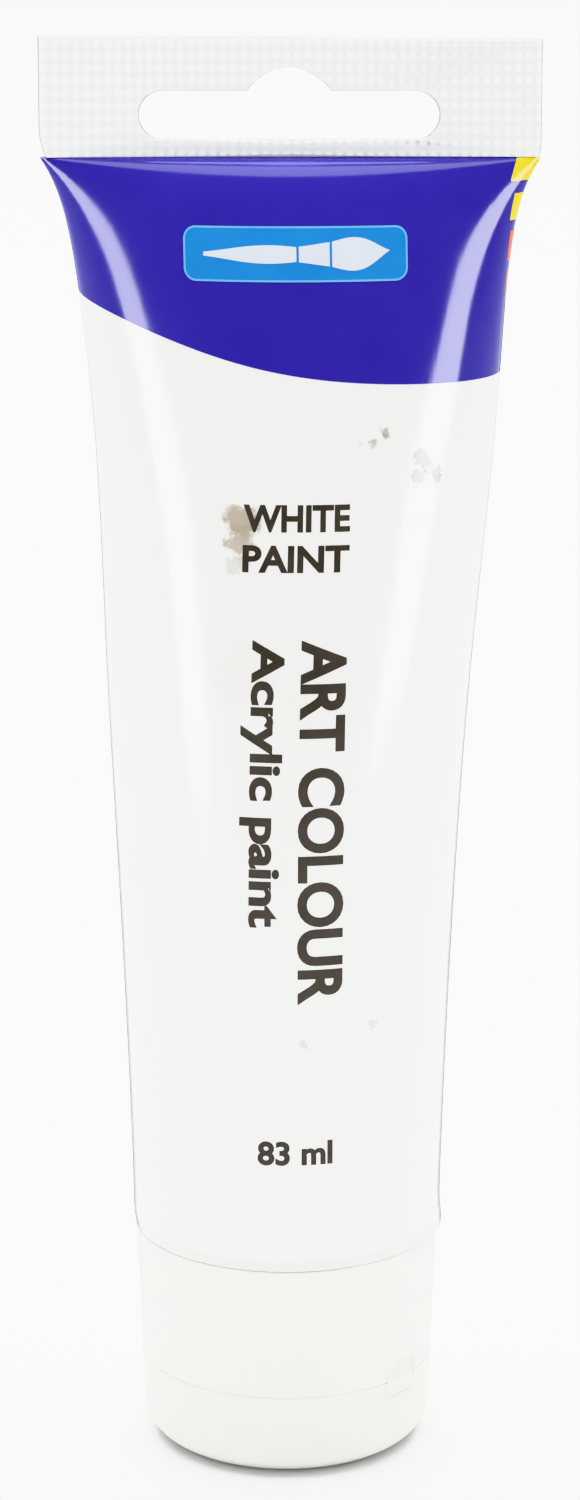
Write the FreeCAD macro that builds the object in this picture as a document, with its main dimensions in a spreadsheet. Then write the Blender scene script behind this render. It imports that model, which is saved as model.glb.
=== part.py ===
import FreeCAD, Part
import math
import os
import Sketcher

# Paint tube standing on its flip-top cap. Millimetres, +Z up, front towards -Y.
# Heights are measured from the flat face of the lid that the tube stands on.

doc = FreeCAD.newDocument("paint_tube")
sheet = doc.addObject("Spreadsheet::Sheet", "sizes")

SIZES = [
    # sleeve: a round tube at the bottom, squeezed flat at the top
    ("tube_diameter", 38.0),
    ("sleeve_wall", 0.5),
    ("sleeve_bottom", 28.0),
    ("seal_line", 161.8),
    ("flare_linear", 3.5),
    ("flare_square", 4.2),
    ("flare_edge", 2.95),
    ("flare_edge_length", 5.0),
    ("depth_power", 1.6),
    ("depth_root", 0.45),
    # welded end strip and its hanging slot
    ("strip_width", 59.4),
    ("strip_top", 176.0),
    ("strip_thickness", 1.0),
    ("slot_half_length", 17.7),
    ("slot_half_height", 2.9),
    ("slot_height", 166.8),
    ("hump_half_width", 4.8),
    ("hump_rise", 2.8),
    # head: shoulder and threaded neck
    ("shoulder_wall", 1.2),
    ("shoulder_land", 16.8),
    ("shoulder_drop", 2.4),
    ("head_skirt_height", 2.0),
    ("neck_root_radius", 7.1),
    ("neck_bore_radius", 5.2),
    ("neck_mouth", 13.9),
    ("thread_major_radius", 8.0),
    ("thread_pitch", 3.0),
    ("thread_root_width", 1.5),
    ("thread_crest_width", 0.8),
    ("thread_overlap", 0.2),
    ("neck_thread_start", 16.0),
    ("thread_length", 6.0),
    # foil, sealing washer and paint
    ("foil_radius", 6.9),
    ("foil_thickness", 0.15),
    ("washer_outer_radius", 7.9),
    ("washer_inner_radius", 3.0),
    ("washer_bottom", 12.7),
    ("washer_thickness", 0.9),
    ("fill_clearance", 0.35),
    # cap base
    ("cap_turn_angle", 52.0),
    ("cap_top", 27.75),
    ("cap_top_radius", 18.65),
    ("cap_wall", 1.2),
    ("parting_radius", 18.06),
    ("parting_height", 11.0),
    ("deck_thickness", 1.6),
    ("bead_outer_radius", 15.4),
    ("bead_width", 0.8),
    ("bead_depth", 1.4),
    ("spout_hole_radius", 2.05),
    ("spout_root_radius", 4.0),
    ("spout_tip_radius", 3.4),
    ("spout_tip", 6.0),
    ("socket_radius", 8.25),
    ("socket_wall", 1.5),
    ("socket_top", 23.9),
    ("cap_thread_tip_radius", 7.35),
    ("cap_thread_start", 14.5),
    ("rib_thickness", 0.8),
    ("rib_height", 8.0),
    # lid
    ("lid_gap", 0.12),
    ("parting_edge_round", 0.15),
    ("lid_low_radius", 17.85),
    ("lid_low_height", 4.6),
    ("lid_edge_round", 4.4),
    ("lid_wall", 1.45),
    ("lid_floor", 1.5),
    ("lid_recess_radius", 10.2),
    ("lid_recess_depth", 0.3),
    ("plug_radius", 1.9),
    ("plug_tip_radius", 1.35),
    ("plug_top", 7.6),
    # thumb notch across the parting line, on the cap's own front
    ("notch_half_width", 2.7),
    ("notch_rise", 2.6),
    ("notch_drop", 2.2),
    ("notch_floor", 17.2),
    # film hinge opposite the notch
    ("film_radius", 18.12),
    ("film_thickness", 0.4),
    ("web_spread", 20.0),
    ("strap_spread", 7.0),
    ("strap_bearing", 21.0),
    ("web_half_height", 1.2),
]

for row, (alias, value) in enumerate(SIZES, start=1):
    sheet.set(f"A{row}", alias)
    sheet.set(f"B{row}", str(value))
    sheet.setAlias(f"B{row}", alias)
doc.recompute()

# Heights along the sleeve as fractions of its length, closer together near the weld.
SLEEVE_STATIONS = [0.0, 0.05, 0.12, 0.22, 0.34, 0.46, 0.58, 0.7, 0.8, 0.88, 0.94, 0.98]
HOLLOW_END = 0.993
# The paint rests on the shoulder and leaves air below the weld.
FILL_STATIONS = [0.02, 0.05, 0.12, 0.22, 0.34, 0.46, 0.6]
SLEEVE_LENGTH = "(sizes.seal_line - sizes.sleeve_bottom)"


def sleeve_height(fraction):
    return f"sizes.sleeve_bottom + {fraction} * {SLEEVE_LENGTH}"


def half_width(fraction, inset):
    return (
        f"sizes.tube_diameter / 2 + sizes.flare_linear * {fraction}"
        f" + sizes.flare_square * {fraction} ^ 2"
        f" + sizes.flare_edge * exp(({fraction} - 1) * {SLEEVE_LENGTH} / sizes.flare_edge_length)"
        f" - ({inset})"
    )


def half_depth(fraction, inset):
    return (
        f"sizes.tube_diameter / 2 * (1 - {fraction} ^ sizes.depth_power) ^ sizes.depth_root"
        f" - ({inset}) - 0.002"
    )


def add_ring(name, height, major, minor):
    ring = doc.addObject("Part::Ellipse", name)
    ring.setExpression("MajorRadius", major)
    ring.setExpression("MinorRadius", minor)
    ring.setExpression("Placement.Base.z", height)
    return ring


def add_loft(name, rings):
    loft = doc.addObject("Part::Loft", name)
    loft.Sections = rings
    loft.Solid = True
    loft.Ruled = False
    loft.MaxDegree = 3
    return loft


def add_cylinder(name, radius, height, base_z):
    cylinder = doc.addObject("Part::Cylinder", name)
    cylinder.setExpression("Radius", radius)
    cylinder.setExpression("Height", height)
    cylinder.setExpression("Placement.Base.z", base_z)
    return cylinder


def add_box(name, low, spans):
    box = doc.addObject("Part::Box", name)
    for axis, expression in zip("xyz", low):
        box.setExpression(f"Placement.Base.{axis}", expression)
    for side, expression in zip(("Length", "Width", "Height"), spans):
        box.setExpression(side, expression)
    return box


def add_fuse(name, shapes):
    fuse = doc.addObject("Part::MultiFuse", name)
    fuse.Shapes = shapes
    return fuse


def add_cut(name, base, tool):
    cut = doc.addObject("Part::Cut", name)
    cut.Base = base
    cut.Tool = tool
    return cut


def new_body(name):
    body = doc.addObject("PartDesign::Body", name)
    body.Label = name
    return body


def origin_plane(body, role):
    for feature in body.Origin.OriginFeatures:
        if feature.Role == role:
            return feature
    raise RuntimeError(f"{body.Label} has no {role}")


def add_sketch(body, name, role, points, offset=None):
    # A closed outline whose corners are tied to the sheet as (across, along) pairs.
    sketch = body.newObject("Sketcher::SketchObject", name)
    sketch.AttachmentSupport = [(origin_plane(body, role), "")]
    sketch.MapMode = "FlatFace"
    if offset is not None:
        sketch.setExpression("AttachmentOffset.Base.z", offset)
    count = len(points)
    turns = [2 * math.pi * index / count for index in range(count)]
    start = [FreeCAD.Vector(10 + 5 * math.cos(a), 5 * math.sin(a), 0) for a in turns]
    for index in range(count):
        line = Part.LineSegment(start[index], start[(index + 1) % count])
        sketch.addGeometry(line, False)
    for index in range(count):
        following = (index + 1) % count
        sketch.addConstraint(Sketcher.Constraint("Coincident", index, 2, following, 1))
    for index, (across, along) in enumerate(points):
        first = Sketcher.Constraint("DistanceX", -1, 1, index, 1, start[index].x)
        across_id = sketch.addConstraint(first)
        sketch.setExpression(f"Constraints[{across_id}]", across)
        second = Sketcher.Constraint("DistanceY", -1, 1, index, 1, start[index].y)
        along_id = sketch.addConstraint(second)
        sketch.setExpression(f"Constraints[{along_id}]", along)
    return sketch


def revolve(body, name, points):
    sketch = add_sketch(body, name + "_profile", "XZ_Plane", points)
    feature = body.newObject("PartDesign::Revolution", name)
    feature.Profile = sketch
    feature.ReferenceAxis = (sketch, ["V_Axis"])
    feature.Angle = 360
    doc.recompute()
    return feature


def add_thread(body, name, points):
    sketch = add_sketch(body, name + "_profile", "XZ_Plane", points)
    thread = body.newObject("PartDesign::AdditiveHelix", name)
    thread.Profile = sketch
    thread.ReferenceAxis = (sketch, ["V_Axis"])
    thread.Mode = 0
    thread.setExpression("Pitch", "sizes.thread_pitch")
    thread.setExpression("Height", "sizes.thread_length")
    thread.LeftHanded = False
    thread.Reversed = False
    doc.recompute()
    return thread


def circle_edges(feature, radius, height):
    names = []
    for index, edge in enumerate(feature.Shape.Edges, start=1):
        curve = edge.Curve
        if isinstance(curve, Part.Circle) and abs(curve.Radius - radius) < 0.02:
            if abs(edge.CenterOfMass.z - height) < 0.02:
                names.append(f"Edge{index}")
    if not names:
        raise RuntimeError(f"{feature.Label} has no edge of radius {radius}")
    return names


def round_edge(body, name, feature, radius, height, amount):
    fillet = body.newObject("PartDesign::Fillet", name)
    fillet.Base = (feature, circle_edges(feature, radius, height))
    fillet.setExpression("Radius", amount)
    doc.recompute()
    return fillet


def value(alias):
    return float(sheet.get(alias))


def add_wall_and_bore():
    outer = []
    inner = []
    for index, fraction in enumerate(SLEEVE_STATIONS):
        height = sleeve_height(fraction)
        width = half_width(fraction, "0")
        depth = half_depth(fraction, "0")
        outer.append(add_ring(f"outer_ring_{index}", height, width, depth))
        width = half_width(fraction, "sizes.sleeve_wall")
        depth = half_depth(fraction, "sizes.sleeve_wall")
        inner.append(add_ring(f"inner_ring_{index}", height, width, depth))
    outer.append(
        add_ring(
            "outer_ring_top",
            "sizes.seal_line",
            "sizes.strip_width / 2",
            "sizes.strip_thickness / 2",
        )
    )
    inner.append(
        add_ring(
            "inner_ring_top",
            sleeve_height(HOLLOW_END),
            half_width(HOLLOW_END, "sizes.sleeve_wall + 0.6"),
            "sizes.strip_thickness / 2",
        )
    )
    return add_loft("sleeve_outside", outer), add_loft("sleeve_inside", inner)


def make_tube_sleeve():
    outside, inside = add_wall_and_bore()
    sleeve = add_cut("tube_sleeve", outside, inside)
    sleeve.Label = "tube_sleeve"
    return sleeve


def add_hang_slot():
    middle = add_box(
        "slot_middle",
        (
            "sizes.slot_half_height - sizes.slot_half_length",
            "-2 * sizes.strip_thickness",
            "sizes.slot_height - sizes.slot_half_height",
        ),
        (
            "2 * (sizes.slot_half_length - sizes.slot_half_height)",
            "4 * sizes.strip_thickness",
            "2 * sizes.slot_half_height",
        ),
    )
    ends = []
    for side, sign in (("left", -1), ("right", 1)):
        end = add_cylinder(
            f"slot_{side}",
            "sizes.slot_half_height",
            "4 * sizes.strip_thickness",
            "sizes.slot_height",
        )
        across = f"{sign} * (sizes.slot_half_length - sizes.slot_half_height)"
        end.setExpression("Placement.Base.x", across)
        end.setExpression("Placement.Base.y", "2 * sizes.strip_thickness")
        end.Placement.Rotation = FreeCAD.Rotation(FreeCAD.Vector(1, 0, 0), 90)
        ends.append(end)
    bow = "(sizes.hump_half_width ^ 2 + sizes.hump_rise ^ 2) / (2 * sizes.hump_rise)"
    disc = add_cylinder(
        "hump_disc",
        bow,
        "4 * sizes.strip_thickness",
        f"sizes.slot_height + sizes.slot_half_height + sizes.hump_rise - {bow}",
    )
    disc.setExpression("Placement.Base.y", "2 * sizes.strip_thickness")
    disc.Placement.Rotation = FreeCAD.Rotation(FreeCAD.Vector(1, 0, 0), 90)
    upper = add_box(
        "hump_limit",
        (
            "-2 * sizes.hump_half_width",
            "-2 * sizes.strip_thickness",
            "sizes.slot_height",
        ),
        (
            "4 * sizes.hump_half_width",
            "4 * sizes.strip_thickness",
            "sizes.slot_half_height + 2 * sizes.hump_rise",
        ),
    )
    hump = doc.addObject("Part::Common", "hump")
    hump.Base = disc
    hump.Tool = upper
    return add_fuse("hang_slot", [middle] + ends + [hump])


def make_end_seal_strip():
    plate = add_box(
        "strip_plate",
        (
            "-sizes.strip_width / 2",
            "-sizes.strip_thickness / 2",
            "sizes.seal_line",
        ),
        (
            "sizes.strip_width",
            "sizes.strip_thickness",
            "sizes.strip_top - sizes.seal_line",
        ),
    )
    strip = add_cut("end_seal_strip", plate, add_hang_slot())
    strip.Label = "end_seal_strip"
    return strip


def make_tube_head():
    body = new_body("tube_head")
    inner = "sizes.tube_diameter / 2 - sizes.sleeve_wall"
    top = "sizes.sleeve_bottom + sizes.head_skirt_height"
    root = "sizes.sleeve_bottom - sizes.shoulder_drop"
    revolve(
        body,
        "head_turning",
        [
            (inner, "sizes.sleeve_bottom"),
            (inner, top),
            (f"{inner} - sizes.shoulder_wall", top),
            ("sizes.shoulder_land", "sizes.sleeve_bottom + sizes.shoulder_wall"),
            ("sizes.neck_bore_radius", f"{root} + sizes.shoulder_wall"),
            ("sizes.neck_bore_radius", "sizes.neck_mouth"),
            ("sizes.neck_root_radius", "sizes.neck_mouth"),
            ("sizes.neck_root_radius", root),
            ("sizes.shoulder_land", "sizes.sleeve_bottom"),
        ],
    )
    low = "sizes.neck_thread_start"
    inside = "sizes.neck_root_radius - sizes.thread_overlap"
    add_thread(
        body,
        "neck_thread",
        [
            (inside, f"{low} - sizes.thread_root_width / 2"),
            ("sizes.thread_major_radius", f"{low} - sizes.thread_crest_width / 2"),
            ("sizes.thread_major_radius", f"{low} + sizes.thread_crest_width / 2"),
            (inside, f"{low} + sizes.thread_root_width / 2"),
        ],
    )
    return body


def make_foil_seal():
    foil = add_cylinder(
        "foil_seal",
        "sizes.foil_radius",
        "sizes.foil_thickness",
        "sizes.neck_mouth - sizes.foil_thickness",
    )
    foil.Label = "foil_seal"
    return foil


def make_paint_fill():
    rings = []
    inset = "sizes.sleeve_wall + sizes.fill_clearance"
    for index, fraction in enumerate(FILL_STATIONS):
        width = half_width(fraction, inset)
        depth = half_depth(fraction, inset)
        rings.append(add_ring(f"fill_ring_{index}", sleeve_height(fraction), width, depth))
    bulk = add_loft("fill_bulk", rings)
    core = add_cylinder(
        "fill_core",
        "sizes.neck_bore_radius - sizes.fill_clearance",
        "sizes.sleeve_bottom + 5 - sizes.neck_mouth",
        "sizes.neck_mouth + 0.1",
    )
    bowl = doc.addObject("Part::Cone", "fill_bowl")
    bowl.setExpression("Radius1", "sizes.neck_bore_radius - sizes.fill_clearance")
    bowl.setExpression("Radius2", "sizes.shoulder_land - sizes.fill_clearance")
    bowl.setExpression("Height", "sizes.shoulder_drop")
    floor = "sizes.sleeve_bottom - sizes.shoulder_drop + sizes.shoulder_wall"
    bowl.setExpression("Placement.Base.z", f"{floor} + sizes.fill_clearance")
    rim = add_cylinder(
        "fill_rim",
        "sizes.shoulder_land - sizes.fill_clearance",
        "2",
        "sizes.sleeve_bottom + sizes.shoulder_wall + sizes.fill_clearance",
    )
    fill = add_fuse("paint_fill", [bulk, rim, bowl, core])
    fill.Label = "paint_fill"
    return fill


def make_seal_washer():
    thick = "sizes.washer_thickness"
    low = "sizes.washer_bottom"
    disc = add_cylinder("washer_disc", "sizes.washer_outer_radius", thick, low)
    hole = add_cylinder("washer_hole", "sizes.washer_inner_radius", thick, low)
    washer = add_cut("seal_washer", disc, hole)
    washer.Label = "seal_washer"
    return washer


def turn_with_cap(body):
    # The cap's own front (the notch) is turned round to the side it faces when screwed home.
    body.Placement = FreeCAD.Placement(FreeCAD.Vector(), FreeCAD.Rotation(0, 0, 0))
    body.setExpression("Placement.Rotation.Angle", "sizes.cap_turn_angle")


def cut_notch(body, name):
    # An arch-topped recess through the wall's outer skin, level with the parting line.
    wide = "sizes.notch_half_width"
    high = "sizes.parting_height + sizes.notch_rise"
    low = "sizes.parting_height - sizes.notch_drop"
    points = [
        (f"-{wide}", low),
        (wide, low),
        (wide, f"{high} - 0.6 * {wide}"),
        (f"0.8 * {wide}", f"{high} - 0.24 * {wide}"),
        (f"0.45 * {wide}", f"{high} - 0.05 * {wide}"),
        (f"-0.45 * {wide}", f"{high} - 0.05 * {wide}"),
        (f"-0.8 * {wide}", f"{high} - 0.24 * {wide}"),
        (f"-{wide}", f"{high} - 0.6 * {wide}"),
    ]
    sketch = add_sketch(body, name + "_outline", "XZ_Plane", points, "sizes.notch_floor")
    before = body.Shape.Volume
    pocket = body.newObject("PartDesign::Pocket", name)
    pocket.Profile = sketch
    pocket.Length = 5
    pocket.Reversed = True
    doc.recompute()
    if not 0.5 < before - pocket.Shape.Volume < 40:
        raise RuntimeError(f"{name} removes {before - pocket.Shape.Volume} mm3")
    return pocket


def make_cap_base():
    body = new_body("cap_base")
    deck = "sizes.parting_height + sizes.deck_thickness"
    bead_foot = "sizes.parting_height - sizes.bead_depth"
    bead_inner = "sizes.bead_outer_radius - sizes.bead_width"
    socket_outer = "sizes.socket_radius + sizes.socket_wall"
    shell = revolve(
        body,
        "base_turning",
        [
            ("sizes.spout_hole_radius", "sizes.spout_tip"),
            ("sizes.spout_tip_radius", "sizes.spout_tip"),
            ("sizes.spout_root_radius", "sizes.parting_height"),
            (bead_inner, "sizes.parting_height"),
            (bead_inner, bead_foot),
            ("sizes.bead_outer_radius", bead_foot),
            ("sizes.bead_outer_radius", "sizes.parting_height"),
            ("sizes.parting_radius", "sizes.parting_height"),
            ("sizes.cap_top_radius", "sizes.cap_top"),
            ("sizes.cap_top_radius - sizes.cap_wall", "sizes.cap_top"),
            ("sizes.parting_radius - sizes.cap_wall", deck),
            (socket_outer, deck),
            (socket_outer, "sizes.socket_top"),
            ("sizes.socket_radius", "sizes.socket_top"),
            ("sizes.socket_radius", deck),
            ("sizes.spout_hole_radius", deck),
        ],
    )
    soft = round_edge(body, "rim_round", shell, value("cap_top_radius"), value("cap_top"), "0.35")
    parting = value("parting_height")
    amount = "sizes.parting_edge_round"
    round_edge(body, "parting_round", soft, value("parting_radius"), parting, amount)
    low = "sizes.cap_thread_start"
    outside = "sizes.socket_radius + sizes.thread_overlap"
    tip = "sizes.cap_thread_tip_radius"
    add_thread(
        body,
        "socket_thread",
        [
            (tip, f"{low} - sizes.thread_crest_width / 2"),
            (outside, f"{low} - sizes.thread_root_width / 2"),
            (outside, f"{low} + sizes.thread_root_width / 2"),
            (tip, f"{low} + sizes.thread_crest_width / 2"),
        ],
    )
    add_ribs(body, deck, socket_outer)
    cut_notch(body, "base_notch")
    turn_with_cap(body)
    return body


def add_ribs(body, deck, socket_outer):
    points = [
        (f"{socket_outer} - 0.3", "-sizes.rib_thickness / 2"),
        ("sizes.parting_radius - sizes.cap_wall / 2", "-sizes.rib_thickness / 2"),
        ("sizes.parting_radius - sizes.cap_wall / 2", "sizes.rib_thickness / 2"),
        (f"{socket_outer} - 0.3", "sizes.rib_thickness / 2"),
    ]
    sketch = add_sketch(body, "rib_outline", "XY_Plane", points, f"{deck} - 0.2")
    rib = body.newObject("PartDesign::Pad", "rib")
    rib.Profile = sketch
    rib.setExpression("Length", "sizes.rib_height")
    doc.recompute()
    ring = body.newObject("PartDesign::PolarPattern", "rib_ring")
    ring.Originals = [rib]
    ring.Axis = (sketch, ["N_Axis"])
    ring.Angle = 360
    ring.Occurrences = 6
    body.Tip = ring
    doc.recompute()


def make_flip_lid():
    body = new_body("flip_lid")
    rim = "sizes.parting_height - sizes.lid_gap"
    rim_inside = "sizes.parting_radius - sizes.lid_wall"
    low_inside = "sizes.lid_low_radius - sizes.lid_wall"
    ledge = "sizes.lid_low_radius - sizes.lid_edge_round"
    shell = revolve(
        body,
        "lid_turning",
        [
            ("0", "sizes.lid_recess_depth"),
            ("sizes.lid_recess_radius", "sizes.lid_recess_depth"),
            ("sizes.lid_recess_radius + sizes.lid_recess_depth", "0"),
            ("sizes.lid_low_radius - 0.12", "0"),
            ("sizes.lid_low_radius", "sizes.lid_low_height"),
            ("sizes.parting_radius", rim),
            (rim_inside, rim),
            (low_inside, "sizes.lid_low_height"),
            (ledge, "sizes.lid_floor"),
            ("sizes.plug_radius", "sizes.lid_floor"),
            ("sizes.plug_radius", "sizes.spout_tip"),
            ("sizes.plug_tip_radius", "sizes.plug_top"),
            ("0", "sizes.plug_top"),
        ],
    )
    edge = value("lid_low_radius") - 0.12
    soft = round_edge(body, "lid_edge", shell, edge, 0.0, "sizes.lid_edge_round")
    height = value("parting_height") - value("lid_gap")
    round_edge(
        body, "lid_rim_round", soft, value("parting_radius"), height, "sizes.parting_edge_round"
    )
    cut_notch(body, "lid_notch")
    turn_with_cap(body)
    return body


def add_sector(name, radius, spread, middle):
    # A wedge of a round bar, standing across the parting line and centred on one bearing.
    wedge = add_cylinder(
        name,
        radius,
        "2 * sizes.web_half_height",
        "sizes.parting_height - sizes.lid_gap / 2 - sizes.web_half_height",
    )
    wedge.setExpression("Angle", spread)
    wedge.setExpression("Placement.Rotation.Angle", f"{middle} - {spread} / 2")
    return wedge


def make_hinge_piece(name, spread, offset):
    # A thin film bridging the cap base and the lid, on the side away from the notch.
    middle = f"(sizes.cap_turn_angle + 90 + {offset})"
    whole = add_sector(name + "_whole", "sizes.film_radius + sizes.film_thickness", spread, middle)
    core = add_sector(name + "_core", "sizes.film_radius", spread, middle)
    film = add_cut(name, whole, core)
    film.Label = name
    return film


def check_and_export(parts):
    os.makedirs("parts", exist_ok=True)
    for item in doc.Objects:
        if "Invalid" in item.State or "Error" in item.State:
            raise RuntimeError(f"{item.Label} is {item.State}")
    for part in parts:
        shape = part.Shape
        if shape.isNull() or not shape.isValid() or len(shape.Solids) != 1:
            raise RuntimeError(f"{part.Label} is not one valid solid")
        print(part.Label, round(shape.Volume, 1), shape.BoundBox)
    for part in parts:
        part.Shape.exportStep(f"parts/{part.Label}.step")


parts = [
    make_tube_sleeve(),
    make_end_seal_strip(),
    make_tube_head(),
    make_foil_seal(),
    make_paint_fill(),
    make_seal_washer(),
    make_cap_base(),
    make_flip_lid(),
    make_hinge_piece("hinge_web", "sizes.web_spread", "0"),
    make_hinge_piece("hinge_strap_left", "sizes.strap_spread", "sizes.strap_bearing"),
    make_hinge_piece("hinge_strap_right", "sizes.strap_spread", "-sizes.strap_bearing"),
]
doc.recompute()
check_and_export(parts)
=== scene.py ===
import math
import bmesh
import bpy
import numpy as np
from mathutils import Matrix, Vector


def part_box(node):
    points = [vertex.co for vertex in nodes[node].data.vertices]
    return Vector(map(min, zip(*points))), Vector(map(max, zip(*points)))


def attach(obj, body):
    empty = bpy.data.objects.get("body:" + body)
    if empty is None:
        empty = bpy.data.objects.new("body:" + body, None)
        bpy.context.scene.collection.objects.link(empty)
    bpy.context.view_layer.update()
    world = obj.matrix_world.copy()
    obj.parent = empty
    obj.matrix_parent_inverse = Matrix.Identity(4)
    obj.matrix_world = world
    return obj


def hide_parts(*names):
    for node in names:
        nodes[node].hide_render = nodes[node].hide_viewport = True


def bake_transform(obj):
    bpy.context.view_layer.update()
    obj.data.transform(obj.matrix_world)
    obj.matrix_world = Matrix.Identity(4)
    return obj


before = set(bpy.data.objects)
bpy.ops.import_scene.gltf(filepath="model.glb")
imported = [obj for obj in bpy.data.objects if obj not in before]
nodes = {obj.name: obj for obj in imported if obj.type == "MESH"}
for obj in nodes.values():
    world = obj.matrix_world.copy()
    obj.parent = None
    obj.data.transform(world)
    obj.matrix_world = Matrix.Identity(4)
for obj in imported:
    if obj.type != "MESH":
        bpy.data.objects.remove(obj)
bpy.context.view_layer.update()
mm = 0.001
print("frame loaded:", len(nodes), "nodes")


def placeMesh(name, mesh, material):
    # Puts a mesh in the scene, shaded smooth.
    piece = bpy.data.objects.new(name, mesh)
    bpy.context.scene.collection.objects.link(piece)
    mesh.materials.append(material)
    mesh.polygons.foreach_set("use_smooth", np.ones(len(mesh.polygons), dtype=bool))
    mesh.update()
    return piece


def finishMesh(name, mesh, material, body, stands=()):
    # Says as well what the piece rides on and which nodes it stands for.
    piece = placeMesh(name, mesh, material)
    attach(piece, body)
    if stands:
        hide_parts(*stands)
    return piece


def gridFaces(rows, columns, closeRows, closeColumns):
    # Quads joining each point of a grid to its right and upper neighbours.
    rowIndex = np.arange(rows if closeRows else rows - 1)
    columnIndex = np.arange(columns if closeColumns else columns - 1)
    r, c = np.meshgrid(rowIndex, columnIndex, indexing="ij")
    nextR, nextC = (r + 1) % rows, (c + 1) % columns
    corners = [r * columns + c, r * columns + nextC, nextR * columns + nextC, nextR * columns + c]
    return np.stack(corners, axis=-1).reshape(-1, 4)


def meshFromArrays(name, points, faces):
    mesh = bpy.data.meshes.new(name)
    mesh.vertices.add(len(points))
    mesh.vertices.foreach_set("co", points.astype(np.float32).ravel())
    mesh.loops.add(faces.size)
    mesh.loops.foreach_set("vertex_index", faces.astype(np.int32).ravel())
    mesh.polygons.add(len(faces))
    starts = np.arange(0, faces.size, faces.shape[1], dtype=np.int32)
    mesh.polygons.foreach_set("loop_start", starts)
    mesh.update(calc_edges=True)
    mesh.validate()
    return mesh


def readPoints(mesh):
    points = np.empty(len(mesh.vertices) * 3)
    mesh.vertices.foreach_get("co", points)
    return points.reshape(-1, 3)


def meshFromGrid(name, grid, closeRows=False, closeColumns=False, flip=False):
    faces = gridFaces(grid.shape[0], grid.shape[1], closeRows, closeColumns)
    if flip:
        faces = faces[:, ::-1]
    return meshFromArrays(name, grid.reshape(-1, 3), faces)


sleeveLow, sleeveHigh = (np.array(corner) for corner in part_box("tube_sleeve"))
sleeve = {
    "roundRadius": 19.0 * mm,      # half the diameter at the shoulder
    "linearFlare": 3.5 * mm,       # widening towards the flat end
    "squareFlare": 4.2 * mm,
    "edgeFlare": 2.95 * mm,        # last quick widening at the weld
    "edgeLength": 5.0 * mm,
    "depthPower": 1.6,
    "depthRoot": 0.45,
    "weldHalf": 0.5 * mm,          # half the thickness at the weld
    "wall": 0.5 * mm,
    "columns": 300,
    "lean": 0.8 * mm,              # sideways bow of a soft tube
    "leanAt": 0.74,                # where it bows most, as a share of the length
    "leanSpread": 0.2,
    "topShift": 0.3 * mm,
    "rimFlare": 0.6 * mm,          # the lower rim stands out on the right
    "rimReach": 1.3 * mm,
    "tuck": 0.26 * mm,             # and turns in a little at its very end
    "tuckHeight": 1.7 * mm,
    "rimDrop": 1.3,                # the rolled rim hangs this many half walls down
    "crowding": 1.55,              # how strongly the rings crowd together at the weld
}
sleeveFoot, sleeveTop = float(sleeveLow[2]), float(sleeveHigh[2])
sleeveLength = sleeveTop - sleeveFoot

# Slow hollows and swells in the soft wall, in millimetres: place across, height, spread across,
# spread up, and how far it stands out.
dents = [
    (-20.0, 150.0, 7.0, 9.0, 0.16),
    (19.0, 147.0, 6.0, 8.0, 0.14),
    (2.0, 156.0, 14.0, 3.5, -0.16),
    (-14.0, 128.0, 6.0, 14.0, -0.12),
    (16.0, 122.0, 7.0, 10.0, -0.14),
    (6.0, 96.0, 9.0, 14.0, 0.10),
    (-9.0, 84.0, 8.0, 12.0, -0.08),
    (13.0, 72.0, 6.0, 12.0, 0.09),
    (-4.0, 50.0, 10.0, 9.0, 0.07),
]


def softWall(across, height):
    # Sum of bell-shaped bumps and three slow waves, in metres along the wall's outward side,
    # fading to nothing at the weld and at the rim.
    rise = np.zeros(np.broadcast(across, height).shape)
    for where, up, spreadAcross, spreadUp, depth in dents:
        bell = ((across / mm - where) / spreadAcross) ** 2 + ((height / mm - up) / spreadUp) ** 2
        rise = rise + depth * mm * np.exp(-bell)
    turn = across / sleeve["roundRadius"]
    rise = rise + 0.05 * mm * np.sin(2 * turn + height / (21 * mm))
    rise = rise + 0.035 * mm * np.sin(3 * turn - height / (13 * mm) + 1.1)
    rise = rise + 0.02 * mm * np.sin(5 * turn + height / (8 * mm) + 2.3)
    calm = np.clip((sleeveTop - height) / (6 * mm), 0, 1) * np.clip((height - sleeveFoot) / (9 * mm), 0, 1)
    return rise * calm


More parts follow.
